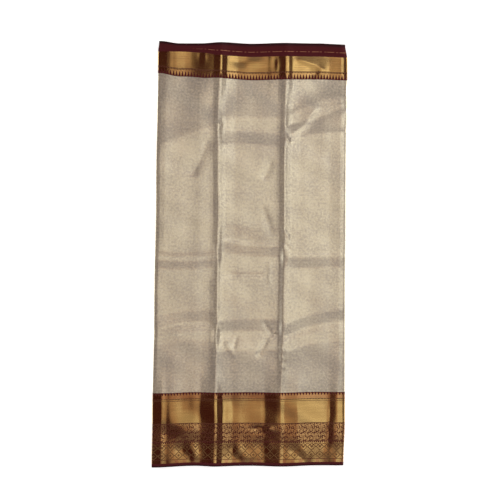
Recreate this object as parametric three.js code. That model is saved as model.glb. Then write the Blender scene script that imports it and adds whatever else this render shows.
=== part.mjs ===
// A silk saree, folded for the shelf and laid flat with its face up.
// The whole cloth is 1.18 m from selvedge to selvedge and about 6.4 m long. It is folded in half twice,
// which makes a band of four layers, and that band is folded in three like a Z, so twelve layers lie
// on each other. X runs along the cloth's length, from fold to fold, Y across it from the wide lower
// border to the narrow upper one, and Z is up. Lengths are in millimetres.
// The top layer is a wall of its own, in the five stretches that a weaver makes: a field, two borders
// and two selvedges. At the left it turns under as the fold of four layers, and at the right as the
// fold of eight. The eleven layers beneath share one solid, which is grooved at its ends and rounded
// at its sides where their folds lie.

import * as THREE from "three";

// Driving dimensions
const CLOTH_WIDTH = 1180;
const FOLDED_WIDTH = 530;
const LAYERS = 12;
const LAYER_PITCH = 1.1;
const WALL = 1;
const GAP = 0.3;
const LEFT_FOLD_LAYERS = 4;
const RIGHT_FOLD_LAYERS = 8;

// Thicknesses that follow from them
const LAYERS_BENEATH = LAYERS - 1;
const BENEATH_HEIGHT = LAYERS_BENEATH * LAYER_PITCH;
const LEFT_FOLD_RADIUS = (LEFT_FOLD_LAYERS * LAYER_PITCH) / 2;
const RIGHT_FOLD_RADIUS = (RIGHT_FOLD_LAYERS * LAYER_PITCH) / 2;
const SIDE_TOP = BENEATH_HEIGHT + GAP + WALL;

// The stretches of the top layer, as distances across the cloth from its lower selvedge
const STRETCHES = [
  { name: "lower_selvedge", from: 0, to: 10, color: 0x4a0f1c, roughness: 0.55, metalness: 0 },
  { name: "lower_border", from: 10, to: 206, color: 0xa87a42, roughness: 0.4, metalness: 0.6 },
  { name: "body_field", from: 206, to: 1080, color: 0xbcae92, roughness: 0.5, metalness: 0.25 },
  { name: "upper_border", from: 1080, to: 1139, color: 0xa87a42, roughness: 0.4, metalness: 0.6 },
  { name: "upper_selvedge", from: 1139, to: CLOTH_WIDTH, color: 0x4a0f1c, roughness: 0.55, metalness: 0 },
];

// Where each edge of the folded cloth wanders from a straight line. In the first table, at is the
// distance across the cloth; in the second, it is the distance along it from the left fold.
const SIDES = [
  { at: 0, left: -12, right: -9 },
  { at: 130, left: -10, right: -5 },
  { at: 430, left: -5, right: -4 },
  { at: 760, left: 0, right: -2 },
  { at: 1130, left: 6, right: 2 },
  { at: CLOTH_WIDTH, left: 9, right: -4 },
];
const ENDS = [
  { at: 0, lower: -3, upper: 3 },
  { at: 120, lower: 2, upper: 0 },
  { at: 176, lower: 0, upper: 3 },
  { at: 265, lower: 2, upper: -2 },
  { at: 356, lower: 0, upper: 1 },
  { at: 450, lower: 3, upper: -2 },
  { at: FOLDED_WIDTH, lower: 3, upper: -7 },
];

// The two long creases, which stand up as ridges through every layer: how far each is from the left
// fold, how high it stands, and how wide its slopes are.
const LONG_CREASES = [
  { at: 174, height: 6.5, leftSlope: 42, rightSlope: 24 },
  { at: 354, height: 6, leftSlope: 46, rightSlope: 22 },
];

// The cross creases, one row for each panel that one crosses: the distance across the cloth at the
// panel's left and right, the height (negative for a trough), and the width of each of its slopes.
const CROSS_CREASES = [
  { panel: 0, left: 895, right: 955, height: 2.4, slope: 34 },
  { panel: 1, left: 948, right: 948, height: 2.2, slope: 36 },
  { panel: 2, left: 968, right: 932, height: 1.8, slope: 40 },
  { panel: 0, left: 578, right: 592, height: 2.2, slope: 30 },
  { panel: 1, left: 632, right: 618, height: 3, slope: 30 },
  { panel: 2, left: 584, right: 596, height: 2, slope: 32 },
  { panel: 0, left: 372, right: 402, height: 1.8, slope: 34 },
  { panel: 1, left: 346, right: 344, height: 3, slope: 36 },
  { panel: 2, left: 374, right: 412, height: -2.6, slope: 26 },
];
// The share of a panel's width over which a cross crease fades out at each of the panel's sides
const CROSS_FADE = 0.15;
// How far each panel swells in its middle, and how sharply a long crease is pinched
const PANEL_CROWN = 1.8;
const PINCH = 1.7;

// How far apart the sections stand, finer where the cross creases are
const SECTION_STEPS = [
  { from: 0, to: 300, step: 66 },
  { from: 300, to: 430, step: 22 },
  { from: 430, to: 550, step: 60 },
  { from: 550, to: 660, step: 22 },
  { from: 660, to: 890, step: 77 },
  { from: 890, to: 980, step: 22 },
  { from: 980, to: CLOTH_WIDTH, step: 60 },
];
const CLEAR_OF_EDGE = 8;
// Points of a section on each side of a long crease, as distances from it, and those near the sides
const CREASE_POINTS = [-42, -18, -5, 0, 5, 22];
const SIDE_MARGINS = [14, 60, 100];
const FOLD_STEPS = 6;

// How far in the edges of the hidden layers lie: the grooves between selvedges at the ends, and the
// two raw edges at the right, which stop short of the fold over them.
const SELVEDGE_IN = 0.5;
const GROOVE_IN = 2;
const RAW_EDGE_IN = 6;
const BOTTOM_FOLD_LAYERS = 2;

const { lerp, clamp, smoothstep } = THREE.MathUtils;

// The value of one column of a table, in a smooth line through its rows.
function along(table, column, at) {
  const next = Math.max(1, table.findIndex((row) => row.at >= at));
  const [a, b] = [table[next - 1], table[next]];
  const share = (1 - Math.cos(Math.PI * clamp((at - a.at) / (b.at - a.at), 0, 1))) / 2;
  return lerp(a[column], b[column], share);
}

// A pinched ridge: 1 at its line, falling to 0 with slopes that flatten as they go.
function ridge(distance, leftSlope, rightSlope) {
  const reach = clamp(1 - Math.abs(distance) / (distance < 0 ? leftSlope : rightSlope), 0, 1);
  return reach ** PINCH;
}

// A soft rounded roll: 1 at its line and 0 a slope's width away.
function roll(distance, slope) {
  return Math.abs(distance) < slope ? (1 + Math.cos((Math.PI * distance) / slope)) / 2 : 0;
}

// How high the cloth stands above a flat stack, at a place u along and v across the cloth. It is 0 at
// both sides, where the folds lie flat.
function relief(u, v) {
  const edges = [0, ...LONG_CREASES.map((crease) => crease.at), FOLDED_WIDTH];
  const panel = Math.max(0, edges.findIndex((edge) => edge >= u) - 1);
  const share = (u - edges[panel]) / (edges[panel + 1] - edges[panel]);
  let height = PANEL_CROWN * Math.sin(Math.PI * share);
  for (const crease of LONG_CREASES) {
    height += crease.height * ridge(u - crease.at, crease.leftSlope, crease.rightSlope);
  }
  for (const crease of CROSS_CREASES.filter((row) => row.panel === panel)) {
    const line = lerp(crease.left, crease.right, share);
    const sideFade = smoothstep(share, 0, CROSS_FADE) * smoothstep(1 - share, 0, CROSS_FADE);
    height += crease.height * sideFade * roll(v - line, crease.slope);
  }
  return height;
}

// The stations of the sections: u along the cloth, and v across it with every stretch's edge among them.
function stationsAlong() {
  const atCreases = LONG_CREASES.flatMap(({ at }) => CREASE_POINTS.map((offset) => at + offset));
  const middle = (LONG_CREASES[0].at + LONG_CREASES[1].at) / 2;
  const atRight = SIDE_MARGINS.map((margin) => FOLDED_WIDTH - margin);
  const all = [0, ...SIDE_MARGINS, ...atCreases, middle, ...atRight, FOLDED_WIDTH];
  return all.sort((a, b) => a - b);
}

function stationsAcross() {
  const edges = [...STRETCHES.map((stretch) => stretch.from), CLOTH_WIDTH];
  const marks = SECTION_STEPS.flatMap(({ from, to, step }) => {
    const count = Math.round((to - from) / step);
    return Array.from({ length: count }, (_, i) => from + ((to - from) * i) / count);
  });
  const clear = marks.filter((mark) => edges.every((edge) => Math.abs(mark - edge) > CLEAR_OF_EDGE));
  return [...edges, ...clear].sort((a, b) => a - b);
}

const U = stationsAlong();
const V = stationsAcross();

// The place on the plan of a point of the cloth.
function planX(u, v) {
  const left = -FOLDED_WIDTH / 2 + along(SIDES, "left", v);
  const right = FOLDED_WIDTH / 2 + along(SIDES, "right", v);
  return lerp(left, right, u / FOLDED_WIDTH);
}

function planY(u, v) {
  const lower = -CLOTH_WIDTH / 2 + along(ENDS, "lower", u);
  const upper = CLOTH_WIDTH / 2 + along(ENDS, "upper", u);
  return lerp(lower, upper, v / CLOTH_WIDTH);
}

// A closed mesh from rings of points that all have the same number of points, with a cap of given
// triangles on the first and the last ring. The quads of a ring are split the other way from the
// point numbered turned on, so that the two skins of a wall bend along the same lines.
function meshFromRings({ rings, firstCap, lastCap, turned, extraPoints = [] }) {
  const size = rings[0].length;
  const faces = [...firstCap];
  for (let i = 0; i + 1 < rings.length; i++) {
    for (let j = 0; j < size; j++) {
      const [a, b] = [i * size + j, i * size + ((j + 1) % size)];
      if (j < turned) faces.push([a, b, b + size], [a, b + size, a + size]);
      else faces.push([a, b, a + size], [b, b + size, a + size]);
    }
  }
  faces.push(...lastCap);
  const points = [...rings.flat(), ...extraPoints];
  const geometry = new THREE.BufferGeometry();
  geometry.setAttribute("position", new THREE.Float32BufferAttribute(points.flat(), 3));
  geometry.setIndex(faces.flat());
  geometry.computeVertexNormals();
  return geometry;
}

// The half round of one fold of the wall, from its lower end up to the top face. towards is 1 where
// the cloth lies to the right of the fold, and -1 where it lies to the left.
function foldArc({ sideX, radius, towards, inwards, u, v }) {
  const out = radius - inwards;
  return Array.from({ length: FOLD_STEPS + 1 }, (_, i) => {
    const angle = Math.PI * (1 - i / FOLD_STEPS);
    const x = sideX + towards * (radius - out * Math.sin(angle));
    return [x, planY(u, v), SIDE_TOP - radius + out * Math.cos(angle)];
  });
}

// One side of the top wall's section, from the lower end of the left fold to that of the right fold.
// inwards is 0 for its outer skin and WALL for its inner skin.
function skin(v, inwards) {
  const [leftX, rightX] = [planX(0, v), planX(FOLDED_WIDTH, v)];
  const left = { sideX: leftX, radius: LEFT_FOLD_RADIUS, towards: 1, inwards, u: 0, v };
  const right = { sideX: rightX, radius: RIGHT_FOLD_RADIUS, towards: -1, inwards, u: FOLDED_WIDTH, v };
  const top = SIDE_TOP - inwards;
  const face = U.slice(1, -1).map((u) => [planX(u, v), planY(u, v), top + relief(u, v)]);
  return [...foldArc(left), ...face, ...foldArc(right).reverse()];
}

// One stretch of the top layer, as a wall through sections across the cloth.
function stretchOfCloth({ name, from, to, color, roughness, metalness }) {
  const start = from === 0 ? 0 : from + GAP / 2;
  const end = to === CLOTH_WIDTH ? CLOTH_WIDTH : to - GAP / 2;
  const sections = [start, ...V.filter((v) => v > from && v < to), end];
  const rings = sections.map((v) => [...skin(v, 0), ...skin(v, WALL).reverse()]);
  const size = rings[0].length;
  const half = size / 2;
  const cap = [];
  for (let i = 0; i + 1 < half; i++) {
    const [a, b, c, d] = [i, i + 1, size - 2 - i, size - 1 - i];
    cap.push([a, c, b], [a, d, c]);
  }
  const last = (rings.length - 1) * size;
  const lastCap = cap.map(([a, b, c]) => [last + a, last + c, last + b]);
  const material = new THREE.MeshStandardMaterial({ color, roughness, metalness });
  const geometry = meshFromRings({ rings, firstCap: cap, lastCap, turned: half });
  const mesh = new THREE.Mesh(geometry, material);
  mesh.name = name;
  return mesh;
}

// How far in the side of the hidden layers lies at a height of n layers. Folds of cloth are half
// rounds; the wall's own fold passes over the top one, with a gap.
function roundedIn(n, bottom, top, depth) {
  const across = clamp((2 * (n - bottom)) / (top - bottom) - 1, -1, 1);
  return depth * (1 - Math.sqrt(1 - across ** 2));
}

// The heights, in layers, at which the wall's folds meet the layers beneath them.
function meeting(radius) {
  const tailBottom = SIDE_TOP - 2 * radius;
  return {
    below: (tailBottom - GAP) / LAYER_PITCH,
    above: (tailBottom + WALL + GAP) / LAYER_PITCH,
  };
}
const LEFT_MEETING = meeting(LEFT_FOLD_RADIUS);
const RIGHT_MEETING = meeting(RIGHT_FOLD_RADIUS);

function insideWall(n, { above }, radius) {
  return WALL + GAP + roundedIn(n, above, LAYERS_BENEATH, radius - WALL - GAP);
}

function leftIn(n) {
  const { below, above } = LEFT_MEETING;
  if (n <= below) return roundedIn(n, 0, below, (below * LAYER_PITCH) / 2);
  return n < above ? LEFT_FOLD_RADIUS + GAP : insideWall(n, LEFT_MEETING, LEFT_FOLD_RADIUS);
}

function rightIn(n) {
  if (n <= BOTTOM_FOLD_LAYERS) return roundedIn(n, 0, BOTTOM_FOLD_LAYERS, LAYER_PITCH);
  if (n <= RIGHT_MEETING.below) return RAW_EDGE_IN;
  const inFold = n >= RIGHT_MEETING.above;
  return inFold ? insideWall(n, RIGHT_MEETING, RIGHT_FOLD_RADIUS) : RIGHT_FOLD_RADIUS + GAP;
}

// The levels of the hidden layers, from the floor up: the groove under each layer and its selvedge,
// half a layer above. The level nearest to where a fold of the wall is met gives way to that height.
function levels() {
  const halves = Array.from({ length: 2 * LAYERS_BENEATH + 1 }, (_, i) => i / 2);
  const exact = [LEFT_MEETING, RIGHT_MEETING].flatMap(({ below, above }) => [below, above]);
  const halfStep = 1 / 4;
  return halves.map((n) => {
    const nearest = exact.find((height) => Math.abs(height - n) < halfStep);
    const atEnd = Number.isInteger(n) ? GROOVE_IN : SELVEDGE_IN;
    return { height: nearest ?? n, endIn: n === LAYERS_BENEATH ? SELVEDGE_IN : atEnd };
  });
}

// A point of the hidden layers at a level. Only the points of the outline move in with it.
function hiddenPoint(u, v, { height, endIn }) {
  let [x, y] = [planX(u, v), planY(u, v)];
  if (u === 0) x += leftIn(height);
  if (u === FOLDED_WIDTH) x -= rightIn(height);
  if (v === 0) y += endIn;
  if (v === CLOTH_WIDTH) y -= endIn;
  return [x, y, height * LAYER_PITCH + (relief(u, v) * height) / LAYERS_BENEATH];
}

// The eleven layers under the top one, as rings at each level with the top filled by a grid.
function hiddenLayers() {
  const [lastU, lastV] = [U.length - 1, V.length - 1];
  const loop = [
    ...U.slice(0, -1).map((_, i) => [i, 0]),
    ...V.slice(0, -1).map((_, j) => [lastU, j]),
    ...U.slice(0, -1).map((_, i) => [lastU - i, lastV]),
    ...V.slice(0, -1).map((_, j) => [0, lastV - j]),
  ];
  const steps = levels();
  const rings = steps.map((level) => loop.map(([i, j]) => hiddenPoint(U[i], V[j], level)));
  const size = loop.length;
  const top = steps.at(-1);
  const inner = [];
  const number = new Map(loop.map(([i, j], k) => [`${i},${j}`, (rings.length - 1) * size + k]));
  for (let j = 1; j < lastV; j++) {
    for (let i = 1; i < lastU; i++) {
      number.set(`${i},${j}`, rings.length * size + inner.length);
      inner.push(hiddenPoint(U[i], V[j], top));
    }
  }
  const topFaces = [];
  for (let j = 0; j < lastV; j++) {
    for (let i = 0; i < lastU; i++) {
      const [a, b] = [number.get(`${i},${j}`), number.get(`${i + 1},${j}`)];
      const [c, d] = [number.get(`${i + 1},${j + 1}`), number.get(`${i},${j + 1}`)];
      topFaces.push([a, b, c], [a, c, d]);
    }
  }
  const centre = rings.length * size + inner.length;
  const bottomFaces = loop.map((_, k) => [centre, (k + 1) % size, k]);
  const material = new THREE.MeshStandardMaterial({ color: 0xb3a58a, roughness: 0.6, metalness: 0.2 });
  const extraPoints = [...inner, [0, 0, 0]];
  const caps = { firstCap: bottomFaces, lastCap: topFaces };
  const geometry = meshFromRings({ rings, ...caps, turned: size, extraPoints });
  const mesh = new THREE.Mesh(geometry, material);
  mesh.name = "layers_beneath";
  return mesh;
}

// The saree, moved so that the middle of its footprint is the origin.
const saree = new THREE.Group();
saree.add(hiddenLayers(), ...STRETCHES.map(stretchOfCloth));
const box = new THREE.Box3().setFromObject(saree);
saree.position.set(-(box.min.x + box.max.x) / 2, -(box.min.y + box.max.y) / 2, -box.min.z);

export default saree;
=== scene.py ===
# %% [markdown]
# # A silk saree, folded and laid flat
# A saree is one long cloth. This one is 1.18 m wide and 6.4 m long, woven in five stretches: a pale
# brocade field, a narrow and a wide border of gold thread, and two plain wine selvedges. Folded in
# half twice and then in three, it lies as a flat pack of twelve layers.
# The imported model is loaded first. It gives the places that every surface here has to keep to.

# %% Load the frame
import math

import bpy
import numpy as np
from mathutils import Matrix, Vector


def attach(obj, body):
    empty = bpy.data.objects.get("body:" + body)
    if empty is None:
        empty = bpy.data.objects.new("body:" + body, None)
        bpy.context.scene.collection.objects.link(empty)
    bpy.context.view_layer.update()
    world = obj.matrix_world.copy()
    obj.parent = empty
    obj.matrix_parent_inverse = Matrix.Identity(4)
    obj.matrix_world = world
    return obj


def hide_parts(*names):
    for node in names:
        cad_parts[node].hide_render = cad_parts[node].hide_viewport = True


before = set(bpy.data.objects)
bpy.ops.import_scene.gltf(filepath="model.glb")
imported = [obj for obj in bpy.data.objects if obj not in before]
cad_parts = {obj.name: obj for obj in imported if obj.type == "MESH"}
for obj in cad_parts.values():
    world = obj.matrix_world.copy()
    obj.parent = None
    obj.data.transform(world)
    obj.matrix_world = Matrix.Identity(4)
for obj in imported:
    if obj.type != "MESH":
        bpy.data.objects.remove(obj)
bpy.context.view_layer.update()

# %% [markdown]
# ## The camera
# The photograph looks straight down. A long lens from high up gives almost parallel rays, so the
# pack's upright sides stay hidden, and a flat stretch of gold thread mirrors nearly the same patch of
# the room wherever it lies. The cloth's 1.18 m cover 424 of the picture's 500 pixels.

# %% Set up the camera
MM = 0.001
CLOTH_WIDTH, FOLDED_WIDTH = 1180.0, 530.0  # mm
PICTURE_PIXELS, CLOTH_PIXELS = 500, 424
PIXEL = CLOTH_WIDTH / CLOTH_PIXELS  # mm of cloth that one pixel covers
MIDDLE_RIGHT, MIDDLE_UP = 0.5, 4.2  # how far the picture's middle lies from the pack's, in pixels
LENS, SENSOR = 200.0, 36.0

camera_data = bpy.data.cameras.new("camera")
camera_data.lens, camera_data.sensor_width = LENS, SENSOR
camera = bpy.data.objects.new("camera", camera_data)
bpy.context.collection.objects.link(camera)
camera_height = PICTURE_PIXELS * PIXEL * MM * LENS / SENSOR
camera.location = (MIDDLE_RIGHT * PIXEL * MM, MIDDLE_UP * PIXEL * MM, camera_height)
bpy.context.scene.camera = camera
bpy.context.scene.view_settings.view_transform = "Standard"
print("camera height in m:", round(camera_height, 2))

# %% [markdown]
# ## The light
# Gold thread is a mirror, so its light and dark stripes are a picture of the room above it, where each
# degree of lean moves the mirrored place by a fifth of a metre. So a patchwork of panels hangs
# overhead: medium ones right above the field and both borders, brighter ones to the right, dim ones
# beyond both selvedges, and almost nothing to the left. Cloth that leans to the left turns dark, and
# ridges that face right shine. Panels low at the sides light the silk and the floor without being
# mirrored by the flat cloth.

# %% Hang the lights
def panel_light(name, place, size, radiance, tint, aim=(0.0, 0.0, 0.0)):
    """A rectangular lamp at a place, turned to a point. Its power is its radiance times pi times its area."""
    data = bpy.data.lights.new(name, "AREA")
    data.shape, data.size, data.size_y = "RECTANGLE", *size
    data.energy = radiance * math.pi * size[0] * size[1]
    data.color = tint
    lamp = bpy.data.objects.new(name, data)
    lamp.location = place
    direction = Vector(aim) - Vector(place)
    lamp.rotation_euler = direction.to_track_quat("-Z", "Y").to_euler()
    bpy.context.collection.objects.link(lamp)


OVERHEAD = 6.0  # height of the patchwork in m
# name, left, right, lower and upper edge in m, radiance, tint
OVERHEAD_PANELS = [
    ("over_field_left", -0.95, -0.25, -0.62, 0.55, 0.45, (1.0, 0.94, 0.79)),
    ("over_field_middle", -0.25, 0.15, -0.62, 0.55, 0.48, (1.0, 0.94, 0.79)),
    ("over_field_right", 0.15, 0.5, -0.62, 0.55, 0.51, (1.0, 0.94, 0.79)),
    ("over_ridges", -0.95, 0.5, 0.55, 0.85, 0.66, (1.0, 0.95, 0.8)),
    ("over_right_field", 0.5, 2.4, -0.62, 0.5, 0.57, (1.0, 0.96, 0.82)),
    ("over_wide_border", -0.75, 0.5, -1.1, -0.62, 0.42, (1.0, 0.645, 0.47)),
    ("over_right_low", 0.5, 2.4, -1.1, -0.62, 0.95, (1.0, 1.0, 0.93)),
    ("over_narrow_border", -0.75, 0.5, 0.85, 1.15, 0.57, (1.0, 0.66, 0.5)),
    ("over_right_ridges", 0.5, 2.4, 0.5, 0.8, 0.95, (1.0, 0.98, 0.88)),
    ("over_right_end", 0.5, 2.4, 0.8, 1.15, 1.6, (1.0, 0.99, 0.92)),
    ("cool_below", -0.75, 2.4, -2.7, -1.1, 0.19, (0.98, 0.98, 0.96)),
    ("cool_above", -0.75, 2.4, 1.15, 2.7, 0.17, (0.97, 0.97, 1.0)),
    ("olive_left", -3.9, -2.1, -0.62, 0.8, 0.05, (1.0, 0.9, 0.3)),
]
for name, left, right, lower, upper, radiance, tint in OVERHEAD_PANELS:
    middle = ((left + right) / 2, (lower + upper) / 2)
    panel_light(name, (*middle, OVERHEAD), (right - left, upper - lower), radiance, tint, aim=(*middle, 0.0))

SIDE_TINT = (1.0, 0.96, 0.88)
# name, place, width and height in m, radiance
SIDE_PANELS = [
    ("right_side", (4.6, 2.6, 2.6), (2.6, 2.2), 9.0),
    ("left_side", (-4.6, 1.0, 1.9), (2.2, 1.4), 5.0),
    ("lower_side", (0.6, -4.4, 2.4), (2.2, 1.6), 4.5),
]
for name, place, size, radiance in SIDE_PANELS:
    panel_light(name, place, size, radiance, SIDE_TINT)
print("lights:", len(bpy.data.lights))

# %% [markdown]
# ## The room
# What the panels leave free, the gold mirrors from the room. A picture of a real room could be wrapped
# around the scene, but a ramp by height is enough: pale near the horizon, so that the gold also shines
# from the side, and a very dark red overhead. Where the camera looks past the floor, it sees an even
# pale grey instead.

# %% Paint the room around it
PALE_UP_TO, DIM_FROM = 0.45, 0.8  # sines of the angles above the horizon
HORIZON, CEILING = (0.82, 0.8, 0.765, 1.0), (0.045, 0.006, 0.01, 1.0)
BACKDROP = (0.93, 0.93, 0.93, 1.0)
room = bpy.data.worlds.new("room")
bpy.context.scene.world = room
room.use_nodes = True
nodes, links = room.node_tree.nodes, room.node_tree.links
nodes.clear()
direction = nodes.new("ShaderNodeTexCoord")
parts = nodes.new("ShaderNodeSeparateXYZ")
height = nodes.new("ShaderNodeMapRange")
height.interpolation_type = "SMOOTHSTEP"
height.inputs["From Min"].default_value = PALE_UP_TO
height.inputs["From Max"].default_value = DIM_FROM
colour = nodes.new("ShaderNodeMix")
colour.data_type = "RGBA"
colour.inputs["A"].default_value = HORIZON
colour.inputs["B"].default_value = CEILING
glow, seen = nodes.new("ShaderNodeBackground"), nodes.new("ShaderNodeBackground")
seen.inputs["Color"].default_value = BACKDROP
rays, choose = nodes.new("ShaderNodeLightPath"), nodes.new("ShaderNodeMixShader")
out = nodes.new("ShaderNodeOutputWorld")
links.new(direction.outputs["Generated"], parts.inputs["Vector"])
links.new(parts.outputs["Z"], height.inputs["Value"])
links.new(height.outputs["Result"], colour.inputs["Factor"])
links.new(colour.outputs["Result"], glow.inputs["Color"])
links.new(rays.outputs["Is Camera Ray"], choose.inputs["Fac"])
links.new(glow.outputs["Background"], choose.inputs[1])
links.new(seen.outputs["Background"], choose.inputs[2])
links.new(choose.outputs["Shader"], out.inputs["Surface"])
print("the room turns dim between", round(math.degrees(math.asin(PALE_UP_TO))), "and",
      round(math.degrees(math.asin(DIM_FROM))), "degrees above the horizon")

# %% [markdown]
# ## The floor
# A plain pale floor carries the pack. It is part of the stage and not of the object. A glow of its
# own keeps it pale where the lamps don't reach.

# %% Lay the floor
FLOOR_HALF, FLOOR_DROP = 40.0, 0.0002  # m from the middle to an edge, and m under the pack
FLOOR_COLOUR, FLOOR_ROUGH = (0.86, 0.86, 0.86, 1.0), 0.9
GLOW_COLOUR, GLOW_STRENGTH = (1.0, 1.0, 1.0, 1.0), 0.7
corner = np.array([(-1, -1), (1, -1), (1, 1), (-1, 1)]) * FLOOR_HALF
floor_mesh = bpy.data.meshes.new("floor")
floor_mesh.from_pydata([(x, y, -FLOOR_DROP) for x, y in corner], [], [(0, 1, 2, 3)])
floor = bpy.data.objects.new("floor", floor_mesh)
bpy.context.collection.objects.link(floor)
floor_paint = bpy.data.materials.new("floor")
floor_paint.use_nodes = True
floor_shader = floor_paint.node_tree.nodes["Principled BSDF"]
floor_shader.inputs["Base Color"].default_value = FLOOR_COLOUR
floor_shader.inputs["Roughness"].default_value = FLOOR_ROUGH
floor_shader.inputs["Emission Color"].default_value = GLOW_COLOUR
floor_shader.inputs["Emission Strength"].default_value = GLOW_STRENGTH
floor_mesh.materials.append(floor_paint)
print("floor:", 2 * FLOOR_HALF, "m across")

# %% [markdown]
# ## Two coordinates for the whole cloth
# Every point of the cloth has a distance u along its length, counted in the folded pack from its left
# fold, and a distance v across it, counted from the lower selvedge. All shapes below are functions of
# these two, as whole arrays. The pack's edges aren't quite straight, so four short tables say how far
# each one wanders, and a smooth line is drawn through each table. The narrow border lies a little
# askew too: a table for each of its edges says how far it strays, and another where that fades out.

# %% Lay out the plan
# place along the edge and how far the edge strays there, in mm
LEFT_SIDE = [(0, -12), (130, -10), (430, -5), (760, 0), (1130, 6), (1180, 9)]
RIGHT_SIDE = [(0, -9), (130, -5), (430, -4), (760, -2), (1130, 2), (1180, -4)]
LOWER_END = [(0, -3), (120, 2), (176, 0), (265, 2), (356, 0), (450, 3), (530, 3)]
UPPER_END = [(0, 3), (60, -4), (120, -4), (176, -1), (265, -5), (356, -3), (450, -4), (530, -7)]
# for each edge of the narrow border: place along the pack and how far the edge strays there in mm, then
# place across the cloth and the share of it that is left there
INNER_EDGE = [(0, 11), (75, 7), (150, 2), (200, -1), (260, -2.5), (530, -1)]
NEAR_INNER = [(0, 0), (860, 0), (1080, 1), (1139, 0), (1180, 0)]
OUTER_EDGE = [(0, 12), (60, 18), (120, 15), (172, 6), (200, 4), (530, 4)]
NEAR_OUTER = [(0, 0), (1080, 0), (1139, 1), (1180, 0)]


def ease(share):
    """From 0 to 1 along half a cosine wave."""
    return (1 - np.cos(np.pi * np.clip(share, 0, 1))) / 2


def through(rows, at):
    """The value at each place: half a cosine wave joins each row (place, value) to the next."""
    places, values = np.array(rows, float).T
    upper = np.clip(np.searchsorted(places, at), 1, len(places) - 1)
    share = (at - places[upper - 1]) / (places[upper] - places[upper - 1])
    return values[upper - 1] + ease(share) * (values[upper] - values[upper - 1])


def middle_of(low_rows, high_rows):
    """Half the sum of the lowest and the highest value of two tables."""
    return (min(value for _, value in low_rows) + max(value for _, value in high_rows)) / 2


def plan(u, v):
    """The place on the floor, in mm: the same share of the way between two wandering edges, each way, and
    near the narrow border the distance that it strays, which fades out on both sides of each of its edges."""
    left = through(LEFT_SIDE, v) - FOLDED_WIDTH / 2
    right = through(RIGHT_SIDE, v) + FOLDED_WIDTH / 2
    lower = through(LOWER_END, np.clip(u, 0, FOLDED_WIDTH)) - CLOTH_WIDTH / 2
    upper = through(UPPER_END, np.clip(u, 0, FOLDED_WIDTH)) + CLOTH_WIDTH / 2
    x = left + (right - left) * u / FOLDED_WIDTH - middle_of(LEFT_SIDE, RIGHT_SIDE)
    y = lower + (upper - lower) * v / CLOTH_WIDTH - middle_of(LOWER_END, UPPER_END)
    for edge, near in ((INNER_EDGE, NEAR_INNER), (OUTER_EDGE, NEAR_OUTER)):
        y = y + through(edge, np.clip(u, 0, FOLDED_WIDTH)) * through(near, v)
    return x, y


left_edge, right_edge = (plan(u, CLOTH_WIDTH / 2)[0] for u in (0.0, FOLDED_WIDTH))
print("width of the pack half way up, in mm:", round(float(right_edge - left_edge), 1))

# %% [markdown]
# ## Pleats along the pack
# Two long creases part the pack into three panels, and each panel has fainter ones beside them. A
# simulation could crease the cloth, but it wouldn't put each crease where this saree has it. A pleated
# surface is easiest to describe by how far each strip leans: a table lists strips from left to right,
# with their width in mm and their lean in degrees, where a lean to the right counts as more than 0.
# Adding up width times slope gives the height. Sections at several places across the cloth, each
# raised or lowered as a whole, are blended into each other, as a loft is.

# %% Pleat the sections
FIRST_CREASE = [(0, 171.5), (260, 171), (470, 173.5), (700, 176), (860, 174), (1010, 171.5), (1180, 175)]
SECOND_CREASE = [(0, 354.5), (190, 353.5), (330, 355), (590, 357.5), (880, 357), (1180, 358)]
CREASES = (172.0, 356.0)  # where the tables below put the two long creases

LOWER_STRIPS = [
    [(26, -7), (13, 5.5), (6, -4), (11, -0.5), (28, 1.5), (17, -0.8), (17, -2), (14, 1.5), (42, -7.5)],
    [(7, 4), (14, 17), (8, 9), (20, 6), (6, -3), (11, -2), (30, 0.3), (22, -0.5), (8, -2), (11, 0.5),
     (46, -7.5)],
    [(8, 4.5), (38, -1.6), (28, 5), (20, 4), (22, 3), (15, 0.5), (20, -8), (3, -2), (14, 4), (6, 14)],
]
BODY_STRIPS = [
    [(9, -8), (60, 0.5), (40, 0), (25, 1), (16, -1), (9, -3.5), (6, -8), (5, -20)],
    [(3, 2), (6, 8), (8, 4), (24, 2), (84, 0), (26, -0.6), (8, -3), (10, -14)],
    [(3, 2), (6, 9), (8, 5), (24, 2), (84, 0), (26, -2), (8, 2), (8, 8)],
]
HIGH_BODY_STRIPS = [
    [(9, -8), (14, -1), (38, 2), (16, 0.5), (38, -0.8), (26, 2), (9, -1), (6, -6), (6, -20), (3, 2)],
    [(3, 2), (6, 9), (8, 6), (24, 2), (76, 0), (28, -0.8), (9, -4), (11, -13)],
    [(3, 2), (6, 9), (10, 6), (24, 2), (80, 0), (28, -3), (8, 2), (8, 8)],
]
UPPER_STRIPS = [
    [(22, -7), (12, -2.5), (7, 2), (6, -2), (28, 4.2), (12, 0), (12, -2.4), (30, -2.8), (22, -3.4),
     (16, -7.5)],
    [(4, 4), (13, 17), (6, 10), (21, 6), (8, 1), (28, 1.5), (38, 0.7), (5, -2), (5, -6), (20, -2.3),
     (18, -7.5)],
    [(7, 4), (10, 13), (8, 8), (36, 5), (20, 3.5), (26, 2.6), (16, -1.5), (18, -0.5), (7, 10), (7, 22)],
]
# place across the cloth, tables, raise in mm
SECTIONS = [
    (0, LOWER_STRIPS, 0), (160, LOWER_STRIPS, 0), (300, BODY_STRIPS, 0), (540, BODY_STRIPS, 0),
    (660, HIGH_BODY_STRIPS, 0), (980, HIGH_BODY_STRIPS, 0),
    (1100, UPPER_STRIPS, -3.2), (1180, UPPER_STRIPS, -3.2),
]
SIDE_HEIGHTS = (-0.5, -3.0)  # how high the section starts and ends, in mm above the pack's own height
STEP, ROUNDING = 0.5, 3  # mm between worked-out points, and mm on both sides over which an edge is rounded


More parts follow.
